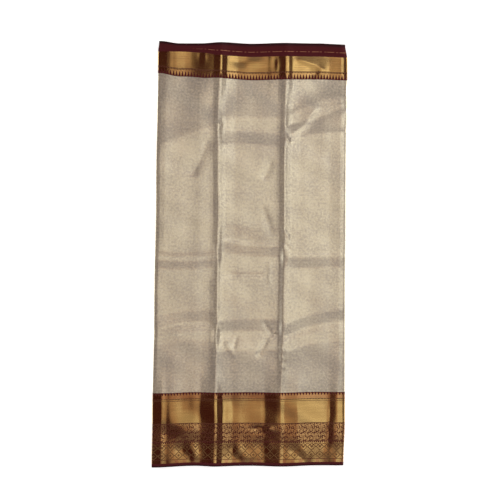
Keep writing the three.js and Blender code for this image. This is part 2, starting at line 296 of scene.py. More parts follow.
def along_strips(strips, length):
    """Where each strip of a table ends, and how high: strips are scaled to fill a length, and their widths,
    and their widths times minus the tangent of their lean, are summed up."""
    widths, leans = np.array(strips, float).T
    widths *= length / widths.sum()
    return np.cumsum(widths), -np.cumsum(widths * np.tan(np.radians(leans)))


def rounded(line, reach):
    """A running mean of a line, weighted by a bell that reaches over some points on both sides."""
    window = np.hanning(2 * reach + 1)
    padded = np.pad(line, reach, mode="edge")
    return np.convolve(padded, window / window.sum(), mode="valid")


def section_height(panels, at):
    """Height of a section at some places: the strips of each panel are summed up from crease to crease, a
    straight slope is added so that the sides end at their own heights, and the edges are rounded."""
    ends = (0.0, *CREASES, FOLDED_WIDTH)
    places, heights = [0.0], [0.0]
    for strips, start, end in zip(panels, ends[:-1], ends[1:]):
        strip_ends, rises = along_strips(strips, end - start)
        places.extend(start + strip_ends)
        heights.extend(heights[-1] + rises)
    fine = np.arange(-ROUNDING, FOLDED_WIDTH + ROUNDING + STEP, STEP)
    line = np.interp(fine, places, heights)
    line += SIDE_HEIGHTS[0] + (SIDE_HEIGHTS[1] - SIDE_HEIGHTS[0] - heights[-1]) * fine / FOLDED_WIDTH
    return np.interp(at, fine, rounded(line, round(ROUNDING / STEP)))


def pleats(u, v):
    """Blend of the sections: u is first moved so that both long creases lie where the tables have them."""
    first, second = through(FIRST_CREASE, v), through(SECOND_CREASE, v)
    before = u * CREASES[0] / first
    between = CREASES[0] + (u - first) * (CREASES[1] - CREASES[0]) / (second - first)
    after = FOLDED_WIDTH - (FOLDED_WIDTH - u) * (FOLDED_WIDTH - CREASES[1]) / (FOLDED_WIDTH - second)
    at = np.where(u < first, before, np.where(u < second, between, after))
    places = np.array([place for place, _, _ in SECTIONS], float)
    heights = np.stack([section_height(panels, at) + raised for _, panels, raised in SECTIONS])
    upper = np.clip(np.searchsorted(places, v), 1, len(places) - 1)
    share = ease((v - places[upper - 1]) / (places[upper] - places[upper - 1]))
    low, high = (np.take_along_axis(heights, k[None], 0)[0] for k in (upper - 1, upper))
    return low + share * (high - low)


section = section_height(LOWER_STRIPS, np.arange(FOLDED_WIDTH))
print("pleated section from", round(float(section.min()), 1), "to", round(float(section.max()), 1), "mm")

# %% [markdown]
# ## Folds across the panels
# An older folding has left bands that lean towards the upper or the lower selvedge, different in each
# panel. They are tables of strips too, from the lower selvedge upwards, with a lean in degrees that is
# more than 0 where a strip faces the upper selvedge. Few bands run straight across, so a slant by
# place moves them up along the panel, and a sag by place is how far their ends hang under their middle.

# %% Lean the bands
CROSSOVER = 30  # mm over which the bands of one panel fade into those of the next
BAND_ROUNDING = 4  # mm on both sides over which an edge is rounded
# width in mm and lean in degrees, for each panel
BANDS = [
    [(206, -0.8), (144, -3.2), (20, 0), (30, 5.2), (32, -4.5), (118, 0.5), (24, -6), (10, 4), (13, -5),
     (315, 0), (14, 1), (154, 3.9), (100, 0)],
    [(206, -0.8), (120, -3.8), (44, 5.3), (9, 0), (31, -6), (176, 0.5), (30, -6.5), (12, 4), (41, -3.5),
     (230, 0), (34, 4.6), (8, 1.5), (28, 0), (8, 1.5), (103, 3.6), (100, 0)],
    [(206, -0.8), (134, -4.6), (28, 0), (22, 5.2), (34, -6), (128, 0.5), (32, -6), (10, 4), (332, 0),
     (44, 5.4), (48, 0.2), (62, 3.4), (100, 0)],
]
# place across the cloth, how far a band rises for each mm along the panel
SLANTS = [
    [(206, 0), (398, 0.1), (586, 0), (930, 0.36), (1080, 0)],
    [(206, 0), (400, 0.02), (620, -0.08), (930, -0.02), (1080, 0)],
    [(206, 0), (385, 0.26), (586, 0.02), (940, 0.15), (995, 0.45), (1080, 0)],
]
# place across the cloth, how far a band's ends lie below its middle in mm
SAGS = [
    [(206, 0), (385, 13), (500, 0), (590, -5), (760, 0), (930, 9), (1080, 0)],
    [(206, 0), (390, 5), (500, 0), (625, -7), (780, 0), (940, 9), (1080, 0)],
    [(206, 0), (385, 9), (500, 0), (590, -3), (780, 0), (950, 8), (1080, 0)],
]
HALF_PANEL = 90.0  # mm


def band_height(strips, at):
    """Height of a panel's bands at some places along v: summed like a pleated section, with no slope from
    end to end."""
    places, heights = (np.concatenate([[0.0], sums]) for sums in along_strips(strips, CLOTH_WIDTH))
    fine = np.arange(0.0, CLOTH_WIDTH + 1.0)
    line = np.interp(fine, places, heights - heights[-1] * places / CLOTH_WIDTH)
    return np.interp(at, fine, rounded(line, BAND_ROUNDING))


def bands(u, v):
    """Each panel's bands, moved up by the slant times the distance from its middle and down by the sag times
    that distance squared, and faded across creases."""
    first, second = through(FIRST_CREASE, v), through(SECOND_CREASE, v)
    middles = (first / 2, (first + second) / 2, (second + FOLDED_WIDTH) / 2)
    shares = ((u - middle) / HALF_PANEL for middle in middles)
    left, centre, right = (
        band_height(strips, v - through(slant, v) * share * HALF_PANEL + through(sag, v) * share**2)
        for strips, slant, sag, share in zip(BANDS, SLANTS, SAGS, shares)
    )
    past_first, past_second = (ease((u - crease) / CROSSOVER + 0.5) for crease in (first, second))
    return left + past_first * (centre - left) + past_second * (right - centre)


tops = [band_height(strips, np.arange(CLOTH_WIDTH)).max() for strips in BANDS]
print("the bands of the three panels rise to", [round(float(top), 1) for top in tops], "mm")

# %% [markdown]
# ## Short creases, puckers and dents
# Each short crease is a stroke from one point to another, with a bow to one side, a height (less than
# 0 for a trough) and the width of its slope on either side. Dents in the stiff borders lean a small
# patch of cloth without raising it. A few long waves keep the rest from being quite flat.

# %% Draw the short creases
# from u, from v, to u, to v, bow to the left, height, slope on the left, slope on the right
STROKES = [
    (146, 924, 94, 800, 6, -1.7, 30, 48),
    (362, 916, 452, 1020, -12, 1.6, 52, 24),
    (196, 534, 314, 534, 0, -1.0, 10, 8),
    (319, 575, 319, 500, 0, 0.9, 7, 7),
    (230, 366, 222, 322, 0, -0.9, 9, 9),
    (318, 362, 286, 300, 0, -1.2, 12, 12),
    (196, 350, 226, 300, 0, 1.0, 14, 9),
    (300, 410, 330, 360, 0, -1.0, 10, 8),
    (322, 862, 298, 796, 4, -1.1, 18, 26),
    (292, 738, 328, 632, 2, -1.0, 16, 22),
    (24, 116, 132, 108, 3, 1.0, 45, 45),
    (380, 1132, 480, 1098, 4, 1.0, 34, 12),
    (162, 958, 186, 946, 0, 1.2, 8, 8),
    (346, 940, 374, 900, 0, 1.5, 9, 9),
    (350, 668, 376, 634, 0, 1.1, 8, 8),
    (350, 632, 378, 602, 0, -1.0, 8, 8),
    (344, 336, 366, 318, 0, 1.0, 7, 7),
    (346, 312, 368, 294, 0, 1.0, 7, 7),
    (346, 286, 366, 270, 0, 0.9, 7, 7),
]
# u, v, half width, half height, lean in degrees (less than 0 to the left)
DENTS = [
    (96, 46, 20, 18, -9), (113, 27, 14, 15, -11), (231, 44, 15, 18, -9), (247, 24, 17, 13, -8),
    (408, 42, 19, 18, -13), (422, 24, 14, 13, -12), (306, 103, 20, 8, -15),
    (66, 96, 38, 24, -8), (204, 150, 12, 30, -5), (124, 1131, 8, 14, -10), (447, 1096, 14, 12, -12),
    (488, 90, 14, 34, -9), (498, 34, 15, 26, 8), (330, 1118, 8, 16, -7), (250, 1125, 30, 12, -4),
    (310, 60, 18, 16, -6),
]
STROKE_END, PINCH = 0.22, 1.6  # share of a stroke that fades out at each end, and power of its slope
WAVES, WAVE_SEED, WAVE_HEIGHT, SHORTEST_WAVE, LONGEST_WAVE = 16, 7, 0.11, 55, 190  # the last three in mm
END_DROP, END_REACH = 1.2, 10.0  # mm by which both ends of the pack sink, and over how many mm


def stroke(u, v, row):
    """A pinched ridge along a bowed line: the share along the chord gives the bow, a half sine, and the
    fading ends, and one minus the distance over the slope, to a power, gives the height."""
    u0, v0, u1, v1, bow, height, left_slope, right_slope = row
    length = math.hypot(u1 - u0, v1 - v0)
    du, dv = (u1 - u0) / length, (v1 - v0) / length
    along = ((u - u0) * du + (v - v0) * dv) / length
    off = (v - v0) * du - (u - u0) * dv - bow * np.sin(np.pi * np.clip(along, 0, 1))
    reach = np.clip(1 - np.abs(off) / np.where(off > 0, left_slope, right_slope), 0, 1)
    return height * reach**PINCH * ease(along / STROKE_END) * ease((1 - along) / STROKE_END)


def dent(u, v, row):
    """Distance from the middle times a slope, faded out by a bell in both directions."""
    middle_u, middle_v, half_u, half_v, lean = row
    du, dv = u - middle_u, v - middle_v
    return -math.tan(math.radians(lean)) * du * np.exp(-((du / half_u) ** 2) - (dv / half_v) ** 2)


def waves(u, v):
    """A sum of sine waves with seeded directions, lengths and phases, all of one height."""
    draw = np.random.default_rng(WAVE_SEED)
    total = np.zeros(np.broadcast(u, v).shape)
    for _ in range(WAVES):
        angle, start = draw.uniform(0, 2 * np.pi, 2)
        turn = 2 * np.pi / draw.uniform(SHORTEST_WAVE, LONGEST_WAVE)
        total += WAVE_HEIGHT * np.sin(turn * (u * np.cos(angle) + v * np.sin(angle)) + start)
    return total


def relief(u, v):
    """Height over a flat pack in mm: all that is above, with both ends sinking a little."""
    u, v = np.broadcast_arrays(np.clip(np.asarray(u, float), 0, FOLDED_WIDTH), np.asarray(v, float))
    total = pleats(u, v) + bands(u, v) + waves(u, v)
    total = total + sum(stroke(u, v, row) for row in STROKES) + sum(dent(u, v, row) for row in DENTS)
    near_end = np.clip(1 - np.minimum(v, CLOTH_WIDTH - v) / END_REACH, 0, 1)
    return total - END_DROP * near_end**2


sample = relief(*np.meshgrid(np.arange(0.0, FOLDED_WIDTH, 10.0), np.arange(0.0, CLOTH_WIDTH, 10.0)))
print("relief from", round(float(sample.min()), 1), "to", round(float(sample.max()), 1), "mm")

# %% [markdown]
# ## How the pack is folded
# Folding in half twice and then in three gives nests of half rounds at both sides. Layer 1 is on top
# and layer 12 at the bottom. At the left the nests join layers 1 to 4 and 5 to 12, at the right 1 to 8
# and 11 to 12, and layers 9 and 10 end there in the cloth's two raw ends. So the cloth is one long
# walk through all layers, and each part of it is a list of columns: runs along a layer, and half
# rounds from one layer to another.

# %% Describe the walk through the layers
LAYERS, THICKNESS, PACK_HEIGHT = 12, 0.55, 13.4  # the last two in mm
BOTTOM_GAP, RUN_GAP = 0.01, 1  # mm under the lowest layer, and mm kept free of columns beside a fold
BOTTOM_MIDDLE = THICKNESS / 2 + BOTTOM_GAP
PITCH = (PACK_HEIGHT - THICKNESS) / (LAYERS - 1)
LEFT_NESTS, RIGHT_NESTS = [(1, 4), (5, 12)], [(1, 8), (11, 12)]
# mm by which a nest or a raw end stands back from the pack's side
NEST_INSET = {(1, 4): 0.0, (5, 12): 1.2, (1, 8): 0.0, (11, 12): 2.0}
RAW_END_INSET = {9: 6.5, 10: 9.0}


def layer_height(layer, u, v):
    """Middle of a layer in mm: the pack's height at that place, shared out evenly over its layers."""
    top = PACK_HEIGHT + relief(u, v) - THICKNESS / 2
    return BOTTOM_MIDDLE + (top - BOTTOM_MIDDLE) * (LAYERS - layer) / (LAYERS - 1)


def nest_of(layer, nests):
    """The nest that a layer belongs to on one side, or None where it ends raw."""
    return next((nest for nest in nests if nest[0] <= layer <= nest[1]), None)


def run_ends(layer):
    """Where a layer's straight run starts and ends: at the middle of its nest's half rounds."""
    ends = []
    for nests in (LEFT_NESTS, RIGHT_NESTS):
        nest = nest_of(layer, nests)
        ends.append(NEST_INSET[nest] + (nest[1] - nest[0]) * PITCH / 2 if nest else RAW_END_INSET[layer])
    return ends[0], FOLDED_WIDTH - ends[1]


def run(layer, places, rightwards=True):
    """Columns (u, where its height is read, upper layer, lower layer, share of the upper) along a layer."""
    start, end = run_ends(layer)
    inner = places[(places > start + RUN_GAP) & (places < end - RUN_GAP)]
    u = np.concatenate([[start], inner, [end]])
    columns = np.stack([u, u, *np.full((2, len(u)), float(layer)), np.ones(len(u))], axis=1)
    return columns if rightwards else columns[::-1]


def half_round(upper, lower, at_left, steps, downwards=True):
    """Columns of a fold: u goes out by the radius times the sine, the height by its cosine."""
    middle = run_ends(upper)[0 if at_left else 1]
    radius = (lower - upper) * PITCH / 2
    angle = np.linspace(0, np.pi, steps + 1)
    u = middle + (-1 if at_left else 1) * radius * np.sin(angle)
    levels = [np.full(len(u), float(layer)) for layer in (upper, lower)]
    columns = np.stack([u, np.full(len(u), middle), *levels, (1 + np.cos(angle)) / 2], axis=1)
    return columns if downwards else columns[::-1]


def surface(columns, v):
    """Points in mm of a walk's columns at each v, as rows along v: the height is shared between layers."""
    u, read_at, upper, lower, share = (column[None, :] for column in columns.T)
    v = v[:, None]
    x, y = plan(u, v)
    above, below = layer_height(upper, read_at, v), layer_height(lower, read_at, v)
    return np.stack(np.broadcast_arrays(x, y, below + (above - below) * share), axis=-1)


print("layers lie", round(PITCH, 2), "mm apart")

# %% [markdown]
# ## From points to a cloth with two faces
# Cloth has a thickness, so each surface becomes a thin closed shell. A Solidify modifier could do
# that, but the points are at hand, so the shell is worked out too. The cross product of the steps
# along both directions gives the normal, and half the thickness along it each way gives the two
# faces. Four strips close the rim. The cloth's own u and v go into the UV map, in metres, because the
# weave follows the cloth around each fold.

# %% Make shells
SHARP = math.radians(60)  # edges sharper than this aren't smoothed over


def shell(name, middle, along, across, thickness=THICKNESS):
    """A closed shell around a grid of points, with UV (along, across) in metres."""
    rows, columns = middle.shape[:2]
    normal = np.cross(np.gradient(middle, axis=1), np.gradient(middle, axis=0))
    normal /= np.linalg.norm(normal, axis=-1, keepdims=True)
    skins = np.concatenate([middle + normal * thickness / 2, middle - normal * thickness / 2])
    number = np.arange(rows * columns).reshape(rows, columns)
    corners = [number[:-1, :-1], number[:-1, 1:], number[1:, 1:], number[1:, :-1]]
    outer = np.stack(corners, axis=-1).reshape(-1, 4)
    inner = outer[:, ::-1] + rows * columns
    rim = np.concatenate([number[0, :-1], number[:-1, -1], number[-1, :0:-1], number[:0:-1, 0]])
    following = np.roll(rim, -1)
    edge = np.stack([rim, rim + rows * columns, following + rows * columns, following], axis=-1)
    faces = np.concatenate([outer, inner, edge])
    mesh = bpy.data.meshes.new(name)
    mesh.from_pydata((skins.reshape(-1, 3) * MM).tolist(), [], faces.tolist())
    places = np.stack(np.broadcast_arrays(along[None, :], across[:, None]), axis=-1).reshape(-1, 2) * MM
    both = np.concatenate([places, places])
    layer = mesh.uv_layers.new(name="cloth")
    layer.uv.foreach_set("vector", both[faces.ravel()].astype(np.float32).ravel())
    mesh.shade_smooth()
    mesh.set_sharp_from_angle(angle=SHARP)
    piece = bpy.data.objects.new(name, mesh)
    bpy.context.collection.objects.link(piece)
    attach(piece, "root")
    return piece


def length_along(columns, v=CLOTH_WIDTH / 2):
    """Distance along a walk in mm: the summed steps of its columns, level and upright."""
    points = surface(columns, np.array([v]))[0]
    steps = np.linalg.norm(np.diff(points, axis=0), axis=1)
    return np.concatenate([[0.0], np.cumsum(steps)])


# %% [markdown]
# ## The top layer
# It is woven in five stretches, and each is a piece of its own. Columns stand close together near
# the long creases and the sides, where the cloth bends most, and further apart between them.

# %% Weave the top layer
STRETCHES = {
    "lower_selvedge": (0.0, 10.0), "lower_border": (10.0, 206.0), "body_field": (206.0, 1080.0),
    "upper_border": (1080.0, 1139.0), "upper_selvedge": (1139.0, CLOTH_WIDTH),
}
SLOTS = {
    "lower_selvedge": "selvedge", "lower_border": "wide_border", "body_field": "field",
    "upper_border": "narrow_border", "upper_selvedge": "selvedge",
}
SEAM = 0.04  # mm between two stretches
FINE, COARSE, NEAR = 1.5, 4.5, 26.0  # mm between columns near a crease and elsewhere, and how near that is
ROW_STEP = 4.2  # mm between rows of the field, and half of it in the borders and selvedges
FOLD_STEPS = 12


def stations(fine, coarse):
    """Places along the cloth: fine steps near the sides and both creases, and coarse steps between them."""
    marks = np.array([0.0, *CREASES, FOLDED_WIDTH])
    places = [0.0]
    while places[-1] < FOLDED_WIDTH:
        distance = np.abs(marks - places[-1]).min()
        places.append(places[-1] + (fine if distance < NEAR else coarse))
    return np.array(places[:-1])


def rows_between(start, end, step):
    """Evenly spaced places from start to end, about a step apart."""
    return np.linspace(start, end, max(2, round((end - start) / step) + 1))


top_columns = np.concatenate([
    half_round(1, 4, at_left=True, steps=FOLD_STEPS, downwards=False),
    run(1, stations(FINE, COARSE))[1:-1],
    half_round(1, 8, at_left=False, steps=FOLD_STEPS),
])
top_length = length_along(top_columns)
top_pieces = {}
for name, (start, end) in STRETCHES.items():
    low = start if start == 0 else start + SEAM / 2
    high = end if end == CLOTH_WIDTH else end - SEAM / 2
    v = rows_between(low, high, ROW_STEP if name == "body_field" else ROW_STEP / 2)
    piece = shell(name + "_cloth", surface(top_columns, v), top_length, v)
    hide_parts(name)
    top_pieces[name] = piece
    print(name, len(piece.data.polygons), "faces")

# %% [markdown]
# ## The layers beneath
# The rest of the cloth walks through the other layers. One part begins at the raw end of layer 9 and
# comes up to the fold that the top layer turns under at the right. The other begins under the top
# layer's left fold and ends at the raw end of layer 10. Only their folds and selvedges show, so their
# columns and rows are few. The selvedges of the layers don't lie quite on each other.

# %% Walk through the layers beneath
HIDDEN_FINE, HIDDEN_COARSE, HIDDEN_ROW_STEP, HIDDEN_FOLD_STEPS = 6.0, 30.0, 22.0, 8
RIM_ROW = 4.0  # mm from each selvedge to the row next to it
# mm that the lowest selvedge stands back, and how many times that its mean and its waves are
STAGGER, STAGGER_MEAN, STAGGER_SWING = 2.2, 0.8, 1.4
STAGGER_WAVES, STAGGER_SHORTEST, STAGGER_LONGEST = 5, 180, 700  # how many waves, and mm
hidden_stations = stations(HIDDEN_FINE, HIDDEN_COARSE)
hidden_rows = np.unique(np.concatenate([
    [RIM_ROW, CLOTH_WIDTH - RIM_ROW],
    *(rows_between(start, end, HIDDEN_ROW_STEP) for start, end in STRETCHES.values()),
]))


def walk(steps):
    """Columns of a walk: each step is a run (layer, rightwards) or a fold (upper, lower, side, downwards)."""
    parts = []
    for step in steps:
        if len(step) == 2:
            parts.append(run(step[0], hidden_stations, rightwards=step[1]))
        else:
            upper, lower, at_left, downwards = step
            parts.append(half_round(upper, lower, at_left, HIDDEN_FOLD_STEPS, downwards)[1:-1])
    return np.concatenate(parts)


LEFT, RIGHT, DOWN, UP, RIGHTWARDS, LEFTWARDS = True, False, True, False, True, False
TO_TOP_LAYER = [(9, LEFTWARDS), (8, 9, LEFT, UP), (8, RIGHTWARDS)]
FROM_TOP_LAYER = [
    (4, RIGHTWARDS), (4, 5, RIGHT, DOWN), (5, LEFTWARDS), (5, 12, LEFT, DOWN),
    (12, RIGHTWARDS), (11, 12, RIGHT, UP), (11, LEFTWARDS), (6, 11, LEFT, UP),
    (6, RIGHTWARDS), (3, 6, RIGHT, UP), (3, LEFTWARDS), (2, 3, LEFT, UP),
    (2, RIGHTWARDS), (2, 7, RIGHT, DOWN), (7, LEFTWARDS), (7, 10, LEFT, DOWN), (10, RIGHTWARDS),
]


def hidden_part(name, steps, seed):
    """A walk with staggered selvedges: smooth seeded waves along its length move each end in or out."""
    columns = walk(steps)
    along = length_along(columns)
    points = surface(columns, hidden_rows)
    draw = np.random.default_rng(seed)
    for end, towards in ((0.0, 1.0), (CLOTH_WIDTH, -1.0)):
        lengths = draw.uniform(STAGGER_SHORTEST, STAGGER_LONGEST, STAGGER_WAVES)
        starts = draw.uniform(0, 2 * np.pi, STAGGER_WAVES)
        wave = np.sin(2 * np.pi * along[:, None] / lengths + starts).mean(axis=1)
        share = 1 - np.abs(hidden_rows - end) / CLOTH_WIDTH
        points[..., 1] += towards * STAGGER * share[:, None] * (STAGGER_MEAN + STAGGER_SWING * wave)[None, :]
    piece = shell(name, points, along, hidden_rows)
    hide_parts("layers_beneath")
    print(name, len(piece.data.polygons), "faces,", round(along[-1]), "mm long")
    return piece, along[-1]


upper_walk, upper_walk_length = hidden_part("layers_eight_and_nine", TO_TOP_LAYER, 3)
lower_walk, lower_walk_length = hidden_part("other_layers_beneath", FROM_TOP_LAYER, 5)

# %% [markdown]
# ## Formulas that a shader can follow
# A woven pattern could be painted as a picture, but formulas on u and v stay sharp from near by and
# need no picture. A small class lets a formula written with ordinary signs build the shader's own
# arithmetic, one node for each step. Marks come out as masks from 0 to 1 with a soft edge, because
# threads blur every edge a little.

# %% Write formulas for shaders
class Term:
    """A number that a shader works out at every point, so that a formula becomes a chain of nodes."""

    def __init__(self, tree, socket):
        self.tree, self.socket = tree, socket

    def step(self, operation, *others, clamp=False):
        """One node of arithmetic on this number and others, which are numbers or terms."""
        node = self.tree.nodes.new("ShaderNodeMath")
        node.operation, node.use_clamp = operation, clamp
        for entry, value in zip(node.inputs, (self, *others)):
            if isinstance(value, Term):
                self.tree.links.new(value.socket, entry)
            else:
                entry.default_value = value
        return Term(self.tree, node.outputs[0])

    def __add__(self, other):
        return self.step("ADD", other)

    def __sub__(self, other):
        return self.step("SUBTRACT", other)

    def __rsub__(self, number):
        return self.step("MULTIPLY_ADD", -1.0, number)

    def __mul__(self, other):
        return self.step("MULTIPLY", other)

    def __abs__(self):
        return self.step("ABSOLUTE")


def above(term, limit, blur):
    """1 where a term is over a limit and 0 where it is under it, with a straight blur between."""
    return (term - limit).step("MULTIPLY_ADD", 1 / blur, 0.5, clamp=True)


def below(term, limit, blur):
    """1 where a term is under a limit."""
    return (term - limit).step("MULTIPLY_ADD", -1 / blur, 0.5, clamp=True)


def either(*masks):
    """The highest of several masks."""
    total = masks[0]
    for mask in masks[1:]:
        total = total.step("MAXIMUM", mask)
    return total


def band(term, low, high, blur=0.5):
    """1 between two places: half the width minus the distance from the middle."""
    return below(abs(term - (low + high) / 2), (high - low) / 2, blur)


def centred(term, pitch, start=0.0):
    """Distance from the middle of the repeat that a place lies in: the fraction of a pitch, less a half."""
    return (((term - start) * (1 / pitch)).step("FRACT") - 0.5) * pitch


def sine(term, pitch):
    """A sine wave with one turn to a pitch."""
    return (term * (2 * math.pi / pitch)).step("SINE")


def radius(x, y):
    """Distance from the origin: the root of the sum of squares."""
    return (x * x + y * y).step("SQRT")


def flower(x, y, size, petals, turn=0.0):
    """A rosette: its edge lies at size times (0.78 + 0.22 cos(petals times angle))."""
    angle = y.step("ARCTAN2", x)
    edge = (angle * petals + turn).step("COSINE").step("MULTIPLY_ADD", 0.22 * size, 0.78 * size)
    return edge - radius(x, y)


def leaf(x, y, length, width, slope):
    """A slanting oval: 1 less the root of the sum of squares of x over length and sheared y over width."""
    return 1 - radius(x * (1 / length), (y - x * slope) * (1 / width))


# %% [markdown]
# ## One finish for each kind of weave
# A brocade's colour comes from two things. Dyed silk scatters light, and a thread wrapped in gilt
# metal mirrors it. So each finish is a mix of silk and gold by one mask: the mask sets the colour, how
# metallic the surface is and how sharply it mirrors. Single threads would be far too many to model,
# so a fine ribbing in the finish tilts the surface a little, as threads do.

# %% Mix silk and gold
def finish_tree(name):
    """A new finish with its shader, and u and v in mm as terms."""
    paint = bpy.data.materials.new(name)
    paint.use_nodes = True
    tree = paint.node_tree
    place = tree.nodes.new("ShaderNodeUVMap")
    place.uv_map = "cloth"
    split = tree.nodes.new("ShaderNodeSeparateXYZ")
    tree.links.new(place.outputs["UV"], split.inputs["Vector"])
    u, v = (Term(tree, split.outputs[axis]) * (1 / MM) for axis in ("X", "Y"))
    return paint, tree, u, v


def blend(tree, mask, first, second):
    """A colour between two, where each is a colour or another blend."""
    node = tree.nodes.new("ShaderNodeMix")
    node.data_type = "RGBA"
    tree.links.new(mask.socket, node.inputs["Factor"])
    for key, value in (("A", first), ("B", second)):
        if isinstance(value, tuple):
            node.inputs[key].default_value = (*value, 1.0)
        else:
            tree.links.new(value, node.inputs[key])
    return node.outputs["Result"]


def connect(tree, colour, metal, roughness, relief_term, depth):
    """Colour, metal and roughness go to the shader, and the relief to a bump of a depth in mm."""
    shader = tree.nodes["Principled BSDF"]
    tree.links.new(colour, shader.inputs["Base Color"])
    tree.links.new(metal.socket, shader.inputs["Metallic"])
    tree.links.new(roughness.socket, shader.inputs["Roughness"])
    bump = tree.nodes.new("ShaderNodeBump")
    bump.inputs["Distance"].default_value = depth * MM
    bump.inputs["Strength"].default_value = 1.0
    tree.links.new(relief_term.socket, bump.inputs["Height"])
    tree.links.new(bump.outputs["Normal"], shader.inputs["Normal"])
    shader.inputs["Specular IOR Level"].default_value = SPECULAR


# the second wine is painted shade for the outer edges of the selvedges
WINE, EDGE_SHADE_WINE = (0.075, 0.009, 0.012), (0.03, 0.005, 0.008)
GOLD, RED_GOLD = (0.88, 0.6, 0.23), (0.70, 0.32, 0.17)
SILK_ROUGH, GOLD_ROUGH, SPECULAR = 0.6, 0.17, 0.12
RIB_PITCH, WARP_SHARE = 0.9, 0.4  # mm, and how strongly warp threads show beside weft threads


def ribs(u, v):
    """A wave along v with a fainter one along u: weft threads over warp threads."""
    weft, warp = sine(v, RIB_PITCH), sine(u, RIB_PITCH)
    return weft + warp * WARP_SHARE


def uneven(tree, x, y, detail):
    """A smooth random number from 0 to 1 with features about one unit of x and y wide."""
    place = tree.nodes.new("ShaderNodeCombineXYZ")
    tree.links.new(x.socket, place.inputs["X"])
    tree.links.new(y.socket, place.inputs["Y"])
    noise = tree.nodes.new("ShaderNodeTexNoise")
    noise.inputs["Scale"].default_value = 1.0
    noise.inputs["Detail"].default_value = detail
    tree.links.new(place.outputs["Vector"], noise.inputs["Vector"])
    return Term(tree, noise.outputs["Fac"])


# %% [markdown]
# ## Gold tissue for both borders
# Both borders are gold tissue with a row of small spikes towards the field, as temple borders have.
# Three masks describe each: where the gold lies, what is woven in wine on it, and where the thread is
# copper-red. Wine silk shows through the gold a little, more in some places than in others.

# %% Weave gold tissue
SPIKE_PITCH, DOT_PITCH, DOT_HALF = 8.3, 4.2, 1.3  # mm
DARKEST = 0.9  # share of the gold that a wine pattern takes away
# share of the wine that gold hides, and how much of it follows the threads and uneven streaks
COVER, COVER_BY_THREADS, COVER_BY_STREAKS = 0.66, 0.03, 0.3
STREAKS_ALONG, STREAKS_ACROSS = 0.012, 0.11  # streaks to a mm
TISSUE_DEPTH, THREAD_RELIEF, GOLD_RELIEF = 0.012, 0.2, 2.5  # mm, and how far threads and gold stand up in it


def spikes(u, v, tip, base):
    """Gold tongues from a base to a tip: the distance from the middle is under the share of the way."""
    reach = (v - tip) * (1 / (base - tip))
    aside = abs(centred(u, SPIKE_PITCH)) * (2 / SPIKE_PITCH)
    return above(reach - aside, 0.0, 0.2) * above(reach, 0.02, 0.04)


def dots(u, v, low, high, pitch, half):
    """A row of short dashes: places near the middle of each repeat, between two heights."""
    return band(v, low, high) * below(abs(centred(u, pitch)), half, 0.6)


def border_finish(name, gold, dark, rosy, line_pitch, line_depth):
    """Gold tissue where the gold mask is 1, wine silk elsewhere, and copper-red thread by the rosy mask. The
    gold hides a share of the wine: a constant, a sine along v, the ribs, and streaks that are long along
    u. The mask to the third power times that share mixes the colour."""
    paint, tree, u, v = finish_tree(name)
    gold_mask, dark_mask, rosy_mask = gold(u, v), dark(u, v), rosy(u, v)
    lines, threads = sine(v, line_pitch), ribs(u, v)
    metal = gold_mask * (1 - dark_mask * DARKEST)
    thread_colour = blend(tree, rosy_mask, GOLD, RED_GOLD)
    streaks = uneven(tree, u * STREAKS_ALONG, v * STREAKS_ACROSS, 3.0)
    cover = lines * line_depth + threads * COVER_BY_THREADS + streaks * COVER_BY_STREAKS + COVER
    colour = blend(tree, metal * metal * metal * cover, WINE, thread_colour)
    roughness = metal * (GOLD_ROUGH - SILK_ROUGH) + SILK_ROUGH
    connect(tree, colour, metal, roughness, threads * THREAD_RELIEF + metal * GOLD_RELIEF, TISSUE_DEPTH)
    return paint


# %% [markdown]
# ## The wide border
# From the field downwards it has spikes, a red strip with a row of dots, a plain band, a creeper with
# flowers, a second row of dots, a lattice with a flower in each diamond, and a bright band at its
# edge. Places and sizes are in mm, and heights count from the lower selvedge.

# %% Draw the wide border's masks
CREEPER_REPEAT, LEAF_PITCH = 34.5, 8.63
DIAMOND_WIDTH, DIAMOND_HEIGHT = 23.0, 22.0
WINE_LINES = [(181.9, 182.9), (119.2, 120.6), (68.6, 70.0), (18.6, 19.8)]
ROSETTES = [(-8.6, 82.5), (8.6, 107.5)]  # place along the repeat, place across the cloth
# place along the repeat, slope, place across the cloth
LEAVES = [(2.0, 0.8, 75.0), (6.0, -0.8, 87.0), (1.0, 0.8, 100.0), (5.0, -0.8, 113.0)]
CREEPER_WINE, LATTICE_WINE = 0.76, 0.38  # how strongly the wine shows in each
RED_STRIP, RED_CREEPER, RED_LATTICE, RED_EDGE = 0.6, 0.42, 0.2, 0.6  # share of copper-red thread


def wide_gold(u, v):
    """Spikes, then solid gold from the red strip down to the selvedge."""
    return either(spikes(u, v, 206.0, 197.0), below(v, 197.3, 0.6))


